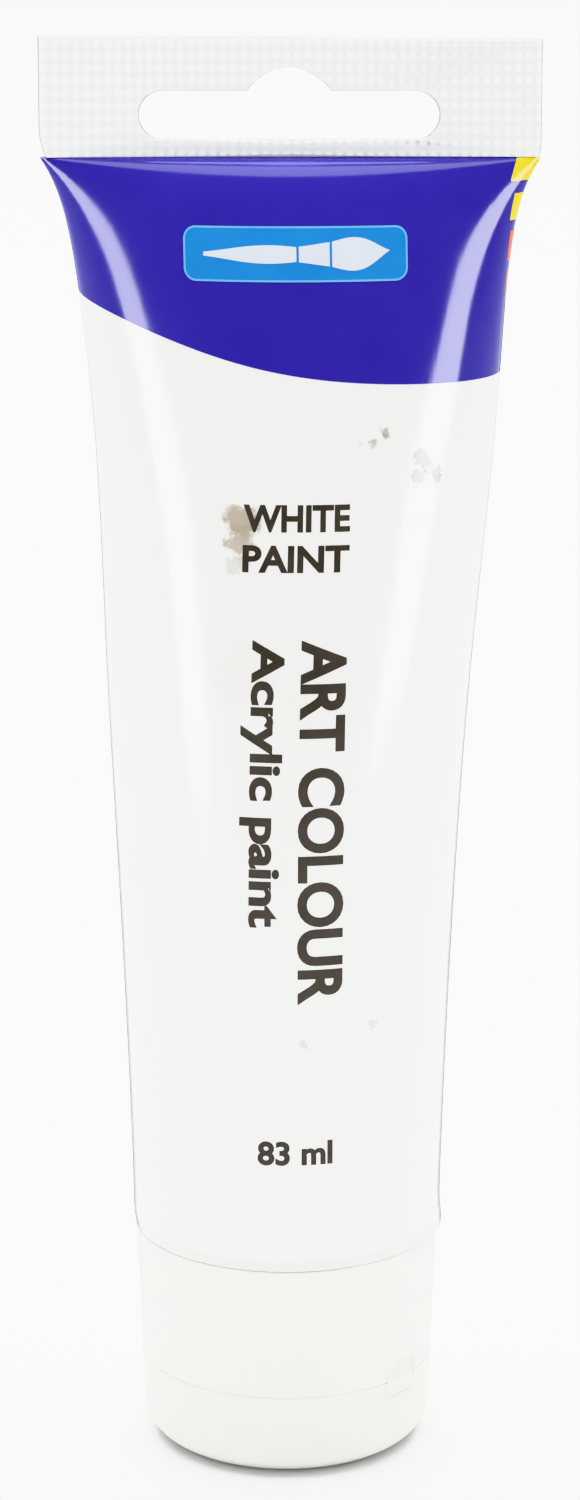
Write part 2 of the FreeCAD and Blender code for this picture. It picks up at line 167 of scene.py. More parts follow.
def sleeveRing(height, inset):
    # Ellipses whose half width grows by a straight, a squared and an exponential term while
    # the half depth falls as (1 - t^p)^q, each cut into steps of equal length round the girth.
    columns = sleeve["columns"]
    t = np.clip((height - sleeveFoot) / sleeveLength, 0, 1)[:, None]
    edge = np.exp((t - 1) * sleeveLength / sleeve["edgeLength"])
    radius = sleeve["roundRadius"]
    wide = radius + sleeve["linearFlare"] * t + sleeve["squareFlare"] * t**2 + sleeve["edgeFlare"] * edge
    deep = radius * (1 - t ** sleeve["depthPower"]) ** sleeve["depthRoot"]
    deep = np.sqrt(deep**2 + sleeve["weldHalf"] ** 2 * t**8)
    fine = np.linspace(-np.pi, np.pi, 12 * columns + 1)[None, :]
    x, y = wide * np.sin(fine), -deep * np.cos(fine)
    run = np.cumsum(np.hypot(np.diff(x, axis=1), np.diff(y, axis=1)), axis=1)
    run = np.concatenate([np.zeros_like(run[:, :1]), run], axis=1)
    girth = run[:, -1:]
    share = np.linspace(0, 1, columns, endpoint=False)
    angle = np.stack([np.interp(share, row / row[-1], fine[0]) for row in run])
    outX, outY = np.sin(angle) / wide, -np.cos(angle) / deep
    size = np.hypot(outX, outY)
    outX, outY = outX / size, outY / size
    across = (share[None, :] - 0.5) * 2 * np.pi * radius
    push = softWall(across, height[:, None]) - inset
    bow = sleeve["lean"] * np.exp(-(((t - sleeve["leanAt"]) / sleeve["leanSpread"]) ** 2))
    bow = bow + sleeve["topShift"] * t**3
    rim = sleeve["rimFlare"] * np.exp(-(height[:, None] - sleeveFoot) / sleeve["rimReach"])
    rim = rim * np.clip(np.sin(angle), 0, 1) ** 3
    tuck = np.clip(1 - (height[:, None] - sleeveFoot) / sleeve["tuckHeight"], 0, 1) ** 2.2
    push = push - sleeve["tuck"] * tuck
    px = wide * np.sin(angle) + outX * push + bow + rim
    py = -deep * np.cos(angle) + outY * push
    pz = np.broadcast_to(height[:, None], px.shape)
    return np.stack([px, py, pz], axis=-1)


def weldedHeights(count):
    # Heights that crowd together towards the weld, where the shape changes fastest.
    share = np.linspace(0, 1, count)
    return sleeveFoot + sleeveLength * (1 - (1 - share) ** sleeve["crowding"])


skinHeights = weldedHeights(420)
skinTable = sleeveRing(skinHeights, 0.0)
skinTable = np.concatenate([skinTable, skinTable[:, :1]], axis=1)
alongGirth = np.gradient(skinTable, axis=1)
alongGirth[:, 0] = alongGirth[:, -1] = skinTable[:, 1] - skinTable[:, -2]
alongHeight = np.gradient(skinTable, axis=0)
skinOut = np.cross(alongGirth, alongHeight)
skinOut /= np.linalg.norm(skinOut, axis=-1, keepdims=True)


def onSleeve(across, height, lift):
    # The point a given way round the girth from the front's middle and a given height up,
    # raised by lift: four neighbours in the table mixed by how near each one is.
    girth = 2 * np.pi * sleeve["roundRadius"]
    columns = skinTable.shape[1] - 1
    u = ((across / girth + 0.5) % 1.0) * columns
    v = np.interp(height, skinHeights, np.arange(len(skinHeights)))
    c, r = np.minimum(u.astype(int), columns - 1), np.minimum(v.astype(int), len(skinHeights) - 2)
    fu, fv = (u - c)[..., None], (v - r)[..., None]

    def mixed(table):
        lower = table[r, c] * (1 - fu) + table[r, c + 1] * fu
        upper = table[r + 1, c] * (1 - fu) + table[r + 1, c + 1] * fu
        return lower * (1 - fv) + upper * fv

    return mixed(skinTable) + mixed(skinOut) * lift


def makeSleeve(material):
    # The outside down to a rolled lower rim, then the inside wall up again, closed at the weld.
    heights = weldedHeights(230)[::-1]
    outside = sleeveRing(heights[:-1], 0.0)
    halfWall = sleeve["wall"] / 2
    rimStart = np.array([sleeveFoot + halfWall])
    roll = []
    for angle in np.linspace(0, np.pi, 13):
        ring = sleeveRing(rimStart, halfWall * (1 - math.cos(angle)))
        ring[..., 2] -= sleeve["rimDrop"] * halfWall * max(math.sin(angle), 0.0) ** 0.3
        roll.append(ring[0])
    inHeights = sleeveFoot + sleeveLength * np.linspace(0.01, 0.985, 60)
    inside = sleeveRing(inHeights, sleeve["wall"])
    keep = heights[:-1] > sleeveFoot + halfWall + 0.05 * mm
    grid = np.concatenate([outside[keep], np.stack(roll), inside])
    mesh = meshFromGrid("tubeSleeve", grid, closeRows=True, closeColumns=True, flip=True)
    return finishMesh("tubeSleeve", mesh, material, "tube", ("tube_sleeve",))


weld = {
    "ringSteps": 560,
    "outSteps": 40,
    "slotHalfLength": 17.7 * mm,
    "slotHalfHeight": 2.9 * mm,
    "slotHeight": 166.8 * mm,
    "slotShift": 0.3 * mm,
    "humpHalf": 4.9 * mm,
    "humpRise": 2.8 * mm,
    "pitchAcross": 1.24 * mm,
    "pitchUp": 1.5 * mm,
    "knurlHeight": 0.16 * mm,
    "thickness": 0.9 * mm,
    "shift": 0.42 * mm,
    "topTilt": 0.17 * mm,
    "footTilt": 0.045 * mm,
    "cornerTaper": 0.75 * mm,      # the left lower corner is drawn in
    "taperHeight": 3.2 * mm,
    "rightTaper": 0.25 * mm,       # and the right one a little
    "rightTaperHeight": 1.2 * mm,
    "edgeFade": 0.45 * mm,         # the pads sink away this near an edge
    "topFade": 0.5 * mm,
    "skinGap": 0.06 * mm,
}


def knurl(x, z):
    # Rows of small rounded pads: the product of two raised cosines, to the power 0.8.
    pads = 0.5 + 0.5 * np.cos(2 * np.pi * x / weld["pitchAcross"])
    pads = pads * (0.5 + 0.5 * np.cos(2 * np.pi * z / weld["pitchUp"]))
    return weld["knurlHeight"] * pads**0.8


def weldOutlines():
    # Two matching closed outlines: the slot with its hump, and the plate's own edge.
    low, high = (np.array(corner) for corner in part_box("end_seal_strip"))
    steps = weld["ringSteps"]
    longRun, endRun = int(steps * 0.42), int(steps * 0.08)
    straight = weld["slotHalfLength"] - weld["slotHalfHeight"]
    sweep = np.linspace(-1, 1, longRun, endpoint=False)
    spin = np.linspace(0, 1, endRun, endpoint=False)
    topX = sweep * straight
    bow = np.clip(1 - (topX / weld["humpHalf"]) ** 2, 0, None)
    topZ = weld["slotHalfHeight"] + weld["humpRise"] * bow**0.9
    endX = straight + weld["slotHalfHeight"] * np.sin(spin * np.pi)
    endZ = weld["slotHalfHeight"] * np.cos(spin * np.pi)
    slotX = np.concatenate([topX, endX, -topX, -endX]) + weld["slotShift"]
    slotZ = np.concatenate([topZ, endZ, np.full(longRun, -weld["slotHalfHeight"]), -endZ])
    slotZ = slotZ + weld["slotHeight"]
    half = high[0]
    top, foot = high[2], low[2]
    # The top edge falls and the weld line climbs a little from left to right.
    plateX = np.concatenate([sweep * half, np.full(endRun, half), -sweep * half, np.full(endRun, -half)])
    plateZ = np.concatenate([
        np.full(longRun, top), top + (foot - top) * spin,
        np.full(longRun, foot), foot + (top - foot) * spin,
    ])
    level = (plateZ - foot) / (top - foot)
    tilt = weld["footTilt"] * (1 - level) - weld["topTilt"] * level
    plateZ = plateZ + tilt * plateX / half
    drawn = np.clip(1 - (plateZ - foot) / weld["taperHeight"], 0, 1) ** 1.5
    leftSide = np.clip(-plateX / half, 0, 1)
    plateX = plateX + drawn * leftSide * weld["cornerTaper"] + weld["shift"]
    rightSide = np.clip(plateX / half, 0, 1)
    drawn = np.clip(1 - (plateZ - foot) / weld["rightTaperHeight"], 0, 1)
    plateX = plateX - weld["rightTaper"] * rightSide * drawn
    return slotX, slotZ, plateX, plateZ


def makeWeldedEnd(material):
    # The plate's cross-section carried round the slot: out along the front, over the edge,
    # back along the rear and through the slot's wall, closed both ways.
    slotX, slotZ, plateX, plateZ = weldOutlines()
    share = np.linspace(0, 1, weld["outSteps"])[:, None]
    x = slotX * (1 - share) + plateX * share
    z = slotZ * (1 - share) + plateZ * share
    rimDistance = np.minimum(share, 1 - share)
    width = np.hypot(plateX - slotX, plateZ - slotZ)
    fade = np.clip(rimDistance * width / weld["edgeFade"], 0, 1)
    topFade = np.clip((plateZ.max() - z) / weld["topFade"], 0, 1)
    thick = weld["thickness"] / 2 * (0.75 + 0.25 * np.sqrt(fade)) - weld["skinGap"]
    front = -(thick + knurl(x, z) * fade * topFade)
    back = thick + knurl(x + 0.5 * weld["pitchAcross"], z) * fade * topFade
    frontSide = np.stack([x, front, z], axis=-1)
    backSide = np.stack([x, back, z], axis=-1)[::-1]
    grid = np.concatenate([frontSide, backSide])
    mesh = meshFromGrid("weldedEnd", grid, closeRows=True, closeColumns=True)
    rim = np.zeros(grid.shape[:2], dtype=np.float32)
    rim[[0, weld["outSteps"] - 1, weld["outSteps"], -1]] = 1.0
    mesh.attributes.new("cutEdge", "FLOAT", "POINT").data.foreach_set("value", rim.ravel())
    return finishMesh("weldedEnd", mesh, material, "tube", ("end_seal_strip",))


inkLift = 0.03 * mm
inkBody = 0.02 * mm
panel = {
    "middle": 140.71 * mm,         # mean height of the slanting lower edge
    "swing": (5.61 * mm, -39.2 * mm),    # once round: how much, and where it is highest
    "ripple": (1.05 * mm, 18.65 * mm),   # twice round
    "top": 161.985 * mm,
}


def panelEdge(across):
    # A slanting cut round the tube: a mean height, one cosine round the girth and one of twice the rate.
    radius = sleeve["roundRadius"]
    swing, swingPlace = panel["swing"]
    ripple, ripplePlace = panel["ripple"]
    once = swing * np.cos((across - swingPlace) / radius)
    return panel["middle"] + once + ripple * np.cos(2 * (across - ripplePlace) / radius)


def inkPiece(name, mesh, material):
    # A printed sheet is given its own thickness downwards, then kept as a plain mesh with crisp edges.
    sheet = bpy.data.objects.new(name + "Sheet", mesh)
    bpy.context.scene.collection.objects.link(sheet)
    body = sheet.modifiers.new("inkBody", "SOLIDIFY")
    body.thickness = inkBody
    body.offset = -1
    bpy.context.view_layer.update()
    whole = bpy.data.meshes.new_from_object(sheet.evaluated_get(bpy.context.evaluated_depsgraph_get()))
    bpy.data.objects.remove(sheet)
    bpy.data.meshes.remove(mesh)
    whole.name = name
    whole.materials.clear()
    piece = finishMesh(name, whole, material, "tube")
    whole.set_sharp_from_angle(angle=math.radians(40))
    return piece


def patch(name, material, across, height, lift):
    # A patch of print: grids of places round the girth and heights, laid on the sleeve.
    return inkPiece(name, meshFromGrid(name, onSleeve(across, height, lift)), material)


def makePanel(material):
    share = np.linspace(0, 1, 70)[:, None]
    girth = 2 * np.pi * sleeve["roundRadius"]
    across = np.linspace(-0.5, 0.5, 300, endpoint=False)[None, :] * girth
    height = panelEdge(across) * (1 - share) + panel["top"] * share
    across = np.broadcast_to(across, height.shape)
    mesh = meshFromGrid("bluePanel", onSleeve(across, height, inkLift), closeColumns=True)
    return inkPiece("bluePanel", mesh, material)


# in millimetres round the girth and up
badge = {
    "centre": (0.5, 151.55),
    "half": (13.85, 3.12),
    "corner": 1.5,
    "line": 0.22,
}


def makeBadgePlate(material):
    # A plate with round corners: columns whose half height falls as a quarter circle near both ends.
    halfWide, halfHigh = badge["half"]
    corner = badge["corner"]
    place = np.linspace(-np.pi / 2, np.pi / 2, 121)[None, :]
    x = halfWide * np.sin(place)
    past = np.clip(np.abs(x) - (halfWide - corner), 0, corner)
    columnHalf = halfHigh - corner + np.sqrt(corner**2 - past**2)
    z = np.linspace(-1, 1, 25)[:, None] * columnHalf
    across = (x + badge["centre"][0]) * mm
    patch("badgePlate", material, across, (z + badge["centre"][1]) * mm, 2 * inkLift)


def makeBadgeOutline(material):
    # A line round the plate: quarter circles joined by straights, and the same drawn in by its width.
    halfWide, halfHigh = badge["half"]
    corner = badge["corner"]
    turn = np.linspace(0, np.pi / 2, 12)
    rings = []
    for inset in (0.0, badge["line"]):
        radius = corner - inset
        spots = []
        for quarter, (signX, signZ) in enumerate(((1, 1), (-1, 1), (-1, -1), (1, -1))):
            angle = turn + quarter * np.pi / 2
            arcX = signX * (halfWide - corner) + radius * np.cos(angle)
            arcZ = signZ * (halfHigh - corner) + radius * np.sin(angle)
            spots.append(np.stack([arcX, arcZ]))
        closed = np.concatenate(spots + [spots[0][:, :1]], axis=1)
        run = np.concatenate([[0], np.cumsum(np.hypot(*np.diff(closed, axis=1)))])
        even = np.linspace(0, 1, 280, endpoint=False) * run[-1]
        rings.append([np.interp(even, run, closed[0]), np.interp(even, run, closed[1])])
    rings = np.array(rings)
    across = (rings[:, 0] + badge["centre"][0]) * mm
    height = (rings[:, 1] + badge["centre"][1]) * mm
    grid = onSleeve(across, height, 3 * inkLift)
    inkPiece("badgeOutline", meshFromGrid("badgeOutline", grid, closeColumns=True), material)


# Parts of a painter's brush lying on its side, in millimetres from the badge's middle: name, ends,
# and half widths spaced evenly along it.
brushParts = [
    ("brushHandle", -11.4, 0.1, (0.22, 0.42, 0.62, 0.86, 1.0, 1.02, 0.98, 0.82)),
    ("brushCollar", 0.4, 4.2, (0.88, 1.02, 1.2, 1.36)),
    ("brushHair", 4.5, 11.6, (1.4, 1.66, 1.84, 1.86, 1.66, 1.2, 0.6, 0.06)),
]


def makeBrush(material):
    # Each part is its half width, a smooth curve along the length, swept from edge to edge.
    for name, left, right, halves in brushParts:
        along = np.linspace(0, 1, 60)[None, :]
        knots = np.linspace(0, 1, len(halves))
        soft = np.polynomial.chebyshev.Chebyshev.fit(knots, halves, min(5, len(halves) - 1))
        side = np.linspace(-1, 1, 11)[:, None]
        height = side * np.clip(soft(along), 0.02, None)
        bend = 0.35 * np.clip((along - 0.3) / 0.7, 0, 1) ** 2 if name == "brushHair" else 0.0
        across = left + (right - left) * along + 0 * side
        height = (height + bend + badge["centre"][1]) * mm
        patch(name, material, (across + badge["centre"][0]) * mm, height, 3 * inkLift)


# name, left and right ends round the girth and lower and upper edges in millimetres, ink
swatches = [
    ("swatchTop", 26.9, 46.0, 159.2, 161.75, "yellow"),
    ("swatchUpper", 27.9, 46.0, 154.5, 157.7, "yellow"),
    ("swatchMiddle", 28.3, 46.0, 149.6, 153.2, "orange"),
    ("swatchLower", 28.6, 46.0, 144.6, 148.2, "apricot"),
]


def makeSwatches(inks):
    for name, left, right, low, high, ink in swatches:
        across, height = np.meshgrid(np.linspace(left, right, 40), np.linspace(low, high, 14))
        patch(name, inks[ink], across * mm, height * mm, 2 * inkLift)


letterWeight = 0.034               # how far each letter's outline is swelled, for a bolder face
plainCapital = 0.7                 # height of the font's capitals at size 1
letterStrips = ((0, 0.45), (1, 1.5))    # axis and width, in millimetres, of the strips letters are cut into

# name, words, where the first letter starts, height of a capital, length of the line, whether it
# runs down; all in millimetres
wording = [
    ("lineWhite", "WHITE", (-6.1, 119.4), 3.3, 12.9, False),
    ("linePaint", "PAINT", (-6.1, 114.6), 3.3, 12.9, False),
    ("lineLarge", "ART COLOUR", (1.3, 106.6), 5.6, 44.6, True),
    ("lineSmall", "Acrylic paint", (-4.6, 106.6), 4.0, 35.0, True),
    ("lineVolume", "83 ml", (-3.5, 41.8), 3.1, 9.1, False),
]


def makeWords(name, words, start, capital, length, runsDown, material):
    # Flat letters are cut into narrow strips so that they can bend, then laid on the sleeve.
    font = bpy.data.curves.new(name, "FONT")
    font.body = words
    font.size = 1.0
    font.resolution_u = 6
    font.fill_mode = "FRONT"
    font.offset = letterWeight
    holder = bpy.data.objects.new(name + "Flat", font)
    bpy.context.scene.collection.objects.link(holder)
    bpy.context.view_layer.update()
    flat = bpy.data.meshes.new_from_object(holder.evaluated_get(bpy.context.evaluated_depsgraph_get()))
    bpy.data.objects.remove(holder)
    points = readPoints(flat)
    low, high = points.min(axis=0), points.max(axis=0)
    capitalHeight = plainCapital + 2 * letterWeight
    points[:, 0] = (points[:, 0] - low[0]) * length / (high[0] - low[0])
    points[:, 1] = (points[:, 1] + letterWeight) * capital / capitalHeight
    if runsDown:
        points = np.stack([points[:, 1], -points[:, 0], points[:, 2]], axis=-1)
    flat.vertices.foreach_set("co", points.ravel())
    work = bmesh.new()
    work.from_mesh(flat)
    bmesh.ops.remove_doubles(work, verts=work.verts, dist=0.02)
    for axis, step in letterStrips:
        normal = [0.0, 0.0, 0.0]
        normal[axis] = 1.0
        for place in np.arange(points[:, axis].min() + step / 2, points[:, axis].max(), step):
            spot = [0.0, 0.0, 0.0]
            spot[axis] = place
            everything = work.verts[:] + work.edges[:] + work.faces[:]
            bmesh.ops.bisect_plane(work, geom=everything, plane_co=spot, plane_no=normal)
    bmesh.ops.dissolve_degenerate(work, dist=0.01, edges=work.edges[:])
    bmesh.ops.triangulate(work, faces=work.faces[:])
    work.to_mesh(flat)
    work.free()
    points = readPoints(flat)
    laid = onSleeve((points[:, 0] + start[0]) * mm, (points[:, 1] + start[1]) * mm, inkLift)
    flat.vertices.foreach_set("co", laid.astype(np.float32).ravel())
    flat.name = name
    return inkPiece(name, flat, material)


def socket(group, name, kind, way, value=None):
    added = group.interface.new_socket(name=name, in_out=way, socket_type=kind)
    if value is not None:
        added.default_value = value


def newNode(tree, kind, **settings):
    made = tree.nodes.new(kind)
    for key, value in settings.items():
        setattr(made, key, value)
    return made


def setInputs(made, **values):
    for key, value in values.items():
        made.inputs[key].default_value = value


def objectPlace(tree):
    return newNode(tree, "ShaderNodeTexCoord").outputs["Object"]


def handlingGroup():
    # Height = fine grain plus rare long scratches; Mask = broad cloudy wear from 0 to 1.
    group = bpy.data.node_groups.new("handlingMarks", "ShaderNodeTree")
    socket(group, "Place", "NodeSocketVector", "INPUT")
    socket(group, "Grain", "NodeSocketFloat", "INPUT", 900.0)
    socket(group, "Clouds", "NodeSocketFloat", "INPUT", 40.0)
    socket(group, "Height", "NodeSocketFloat", "OUTPUT")
    socket(group, "Mask", "NodeSocketFloat", "OUTPUT")
    source = newNode(group, "NodeGroupInput")
    result = newNode(group, "NodeGroupOutput")
    grain = newNode(group, "ShaderNodeTexNoise")
    setInputs(grain, Detail=4.0, Roughness=0.6)
    group.links.new(source.outputs["Place"], grain.inputs["Vector"])
    group.links.new(source.outputs["Grain"], grain.inputs["Scale"])
    stretch = newNode(group, "ShaderNodeMapping")
    stretch.inputs["Scale"].default_value = (1.0, 1.0, 0.07)
    stretch.inputs["Rotation"].default_value = (0.3, 0.5, 0.0)
    group.links.new(source.outputs["Place"], stretch.inputs["Vector"])
    scratch = newNode(group, "ShaderNodeTexNoise")
    setInputs(scratch, Scale=1400.0, Detail=2.0, Roughness=0.5)
    group.links.new(stretch.outputs["Vector"], scratch.inputs["Vector"])
    rare = newNode(group, "ShaderNodeMapRange")
    setInputs(rare, **{"From Min": 0.68, "From Max": 0.78, "To Min": 0.0, "To Max": -0.8})
    group.links.new(scratch.outputs["Fac"], rare.inputs["Value"])
    total = newNode(group, "ShaderNodeMath", operation="ADD")
    group.links.new(grain.outputs["Fac"], total.inputs[0])
    group.links.new(rare.outputs["Result"], total.inputs[1])
    group.links.new(total.outputs["Value"], result.inputs["Height"])
    clouds = newNode(group, "ShaderNodeTexNoise")
    setInputs(clouds, Detail=5.0, Roughness=0.62)
    group.links.new(source.outputs["Place"], clouds.inputs["Vector"])
    group.links.new(source.outputs["Clouds"], clouds.inputs["Scale"])
    spread = newNode(group, "ShaderNodeMapRange")
    setInputs(spread, **{"From Min": 0.38, "From Max": 0.68, "To Min": 0.0, "To Max": 1.0})
    group.links.new(clouds.outputs["Fac"], spread.inputs["Value"])
    group.links.new(spread.outputs["Result"], result.inputs["Mask"])
    return group


handling = handlingGroup()


def finish(name, colour, worn, roughness, grain=900.0, clouds=40.0, bump=0.02, coat=0.0,
           subsurface=0.0, specular=0.5, roughSpread=0.08):
    # One plastic or ink: two near tones clouded together, gloss that varies with them, fine relief.
    material = bpy.data.materials.new(name)
    material.use_nodes = True
    tree = material.node_tree
    shader = tree.nodes["Principled BSDF"]
    marks = newNode(tree, "ShaderNodeGroup", node_tree=handling)
    setInputs(marks, Grain=grain, Clouds=clouds)
    tree.links.new(objectPlace(tree), marks.inputs["Place"])
    tone = newNode(tree, "ShaderNodeMix", data_type="RGBA")
    tone.inputs["A"].default_value = (*colour, 1.0)
    tone.inputs["B"].default_value = (*worn, 1.0)
    tree.links.new(marks.outputs["Mask"], tone.inputs["Factor"])
    tree.links.new(tone.outputs["Result"], shader.inputs["Base Color"])
    gloss = newNode(tree, "ShaderNodeMapRange")
    setInputs(gloss, **{"To Min": roughness, "To Max": roughness + roughSpread})
    tree.links.new(marks.outputs["Mask"], gloss.inputs["Value"])
    tree.links.new(gloss.outputs["Result"], shader.inputs["Roughness"])
    relief = newNode(tree, "ShaderNodeBump")
    setInputs(relief, Strength=bump * 10, Distance=reliefDepth)
    tree.links.new(marks.outputs["Height"], relief.inputs["Height"])
    tree.links.new(relief.outputs["Normal"], shader.inputs["Normal"])
    shader.inputs["Coat Weight"].default_value = coat
    shader.inputs["Coat Roughness"].default_value = 0.12
    shader.inputs["Specular IOR Level"].default_value = specular
    if subsurface:
        shader.inputs["Subsurface Weight"].default_value = subsurface
        shader.inputs["Subsurface Radius"].default_value = (1.0, 0.9, 0.8)
        shader.inputs["Subsurface Scale"].default_value = 0.0012
    return material


def over(tree, base, colour, amount):
    # Lays one colour over what is there, as strongly as the amount says.
    mixed = newNode(tree, "ShaderNodeMix", data_type="RGBA")
    mixed.inputs["B"].default_value = (*colour, 1.0)
    tree.links.new(base, mixed.inputs["A"])
    tree.links.new(amount, mixed.inputs["Factor"])
    return mixed.outputs["Result"]


def ramp(tree, source, start, end, low, high):
    # Climbs smoothly from low to high while the source goes from start to end.
    made = newNode(tree, "ShaderNodeMapRange", interpolation_type="SMOOTHSTEP")
    setInputs(made, **{"From Min": start, "From Max": end, "To Min": low, "To Max": high})
    tree.links.new(source, made.inputs["Value"])
    return made.outputs["Result"]


def calculate(tree, operation, *terms):
    # One sum on numbers or on other nodes' outputs.
    made = newNode(tree, "ShaderNodeMath", operation=operation)
    for index, term in enumerate(terms):
        if isinstance(term, (int, float)):
            made.inputs[index].default_value = term
        else:
            tree.links.new(term, made.inputs[index])
    return made.outputs["Value"]


def axes(tree):
    made = newNode(tree, "ShaderNodeSeparateXYZ")
    tree.links.new(objectPlace(tree), made.inputs["Vector"])
    return made.outputs["X"], made.outputs["Y"], made.outputs["Z"]


reliefDepth = 0.02 * mm            # full depth of every plastic's bump

# Rubbed-on dirt: place round the girth, height and reach in millimetres, colour, strength.
smudges = [
    (-6.2, 120.6, 2.5, (0.40, 0.34, 0.25), 0.85),
    (-6.4, 118.2, 2.3, (0.42, 0.36, 0.28), 0.8),
    (-6.9, 115.8, 1.6, (0.50, 0.46, 0.40), 0.5),
    (16.2, 127.0, 1.7, (0.24, 0.24, 0.25), 0.85),
    (15.4, 125.2, 1.7, (0.24, 0.24, 0.25), 0.9),
    (17.8, 125.4, 1.2, (0.24, 0.24, 0.25), 0.9),
    (15.2, 119.4, 1.0, (0.50, 0.50, 0.52), 0.5),
    (9.6, 129.9, 0.8, (0.40, 0.38, 0.33), 0.75),
    (10.4, 130.2, 0.6, (0.36, 0.34, 0.29), 0.75),
    (11.2, 130.6, 0.5, (0.40, 0.38, 0.33), 0.7),
    (-5.6, 102.0, 5.5, (0.60, 0.56, 0.50), 0.16),
    (4.0, 99.0, 6.0, (0.62, 0.60, 0.56), 0.12),
    (10.8, 58.4, 0.4, (0.3, 0.3, 0.3), 0.4),
    (2.2, 56.8, 0.4, (0.3, 0.3, 0.3), 0.4),
]


raggedness = 6.5 * mm              # how far noise moves a smudge's edge


def filmRelief(tree, shader):
    # Height = noise squeezed flat sideways and drawn out upwards: the stretched film's fine upright
    # streaks, as a second bump over the grain.
    stretch = newNode(tree, "ShaderNodeMapping")
    stretch.inputs["Scale"].default_value = (1.0, 1.0, 0.06)
    tree.links.new(objectPlace(tree), stretch.inputs["Vector"])
    streaks = newNode(tree, "ShaderNodeTexNoise")
    setInputs(streaks, Scale=620.0, Detail=3.0, Roughness=0.5)
    tree.links.new(stretch.outputs["Vector"], streaks.inputs["Vector"])
    relief = newNode(tree, "ShaderNodeBump")
    setInputs(relief, Strength=0.35, Distance=reliefDepth)
    tree.links.new(streaks.outputs["Fac"], relief.inputs["Height"])
    tree.links.new(shader.inputs["Normal"].links[0].from_socket, relief.inputs["Normal"])
    tree.links.new(relief.outputs["Normal"], shader.inputs["Normal"])


def stainedAndShadedSleeve():
    # White film; a smudge's strength falls with the distance from its middle, and noise added to
    # that distance makes its edge ragged. A band of painted shade darkens the film just above its rim.
    material = finish("whiteFilm", (0.9, 0.9, 0.888), (0.885, 0.887, 0.872), 0.10, clouds=22.0,
                      bump=0.012, specular=0.35, roughSpread=0.06)
    tree = material.node_tree
    shader = tree.nodes["Principled BSDF"]
    place = objectPlace(tree)
    base = shader.inputs["Base Color"].links[0].from_socket
    blotch = newNode(tree, "ShaderNodeTexNoise")
    setInputs(blotch, Scale=520.0, Detail=5.0, Roughness=0.68)
    tree.links.new(place, blotch.inputs["Vector"])
    ragged = calculate(tree, "MULTIPLY_ADD", blotch.outputs["Fac"], raggedness, -0.5 * raggedness)
    for across, height, reach, colour, strength in smudges:
        apart = newNode(tree, "ShaderNodeVectorMath", operation="DISTANCE")
        apart.inputs[1].default_value = onSleeve(np.array(across * mm), np.array(height * mm), 0.0)
        tree.links.new(place, apart.inputs[0])
        apart = calculate(tree, "ADD", apart.outputs["Value"], ragged)
        base = over(tree, base, colour, ramp(tree, apart, 0.35 * reach * mm, reach * mm, strength, 0.0))
    _, _, z = axes(tree)
    # Painted shade: the film is darkened where it turns in over the shoulder, standing in for the shade under
    # the rolled rim.
    paintedRimShade = ramp(tree, z, sleeveFoot + 0.9 * mm, sleeveFoot + 1.7 * mm, 0.55, 0.0)
    base = over(tree, base, (0.74, 0.745, 0.72), paintedRimShade)
    tree.links.new(base, shader.inputs["Base Color"])
    filmRelief(tree, shader)
    return material


def ink(name, colour, worn, clouds=160.0):
    # Two near tones of one colour clouded together, with the film's own gloss and streaks.
    material = finish(name, colour, worn, 0.10, clouds=clouds, bump=0.012, specular=0.35, roughSpread=0.05)
    filmRelief(material.node_tree, material.node_tree.nodes["Principled BSDF"])
    return material


def pressedWeld():
    # Painted shade: pads darken towards their grooves, where shade falls; a sum of two raised cosines on the
    # left, which reads as a weave, turning into their product on the right, which reads as dots. Cut edges
    # are greyer.
    material = finish("pressedFilm", (0.975, 0.98, 0.968), (0.955, 0.962, 0.948), 0.2, clouds=120.0,
                      bump=0.02, specular=0.4)
    tree = material.node_tree
    shader = tree.nodes["Principled BSDF"]
    x, _, z = axes(tree)
    waves = []
    for side, pitch in ((x, weld["pitchAcross"]), (z, weld["pitchUp"])):
        wave = calculate(tree, "COSINE", calculate(tree, "MULTIPLY", side, 2 * math.pi / pitch))
        waves.append(calculate(tree, "MULTIPLY_ADD", wave, 0.5, 0.5))
    weave = calculate(tree, "MULTIPLY", calculate(tree, "ADD", *waves), 0.5)
    dots = calculate(tree, "POWER", calculate(tree, "MULTIPLY", *waves), 0.7)
    toRight = ramp(tree, x, -22 * mm, 14 * mm, 0.0, 1.0)
    blend = newNode(tree, "ShaderNodeMix", data_type="FLOAT")
    tree.links.new(toRight, blend.inputs["Factor"])
    tree.links.new(weave, blend.inputs["A"])
    tree.links.new(dots, blend.inputs["B"])
    # Painted shade in the grooves between the pads.
    paintedGrooveShade = ramp(tree, blend.outputs["Result"], 0.15, 0.75, 0.5, 0.0)
    base = shader.inputs["Base Color"].links[0].from_socket
    base = over(tree, base, (0.76, 0.775, 0.755), paintedGrooveShade)
    edge = newNode(tree, "ShaderNodeAttribute", attribute_name="cutEdge")
    base = over(tree, base, (0.33, 0.34, 0.34), ramp(tree, edge.outputs["Fac"], 0.0, 1.0, 0.0, 0.8))
    tree.links.new(base, shader.inputs["Base Color"])
    return material


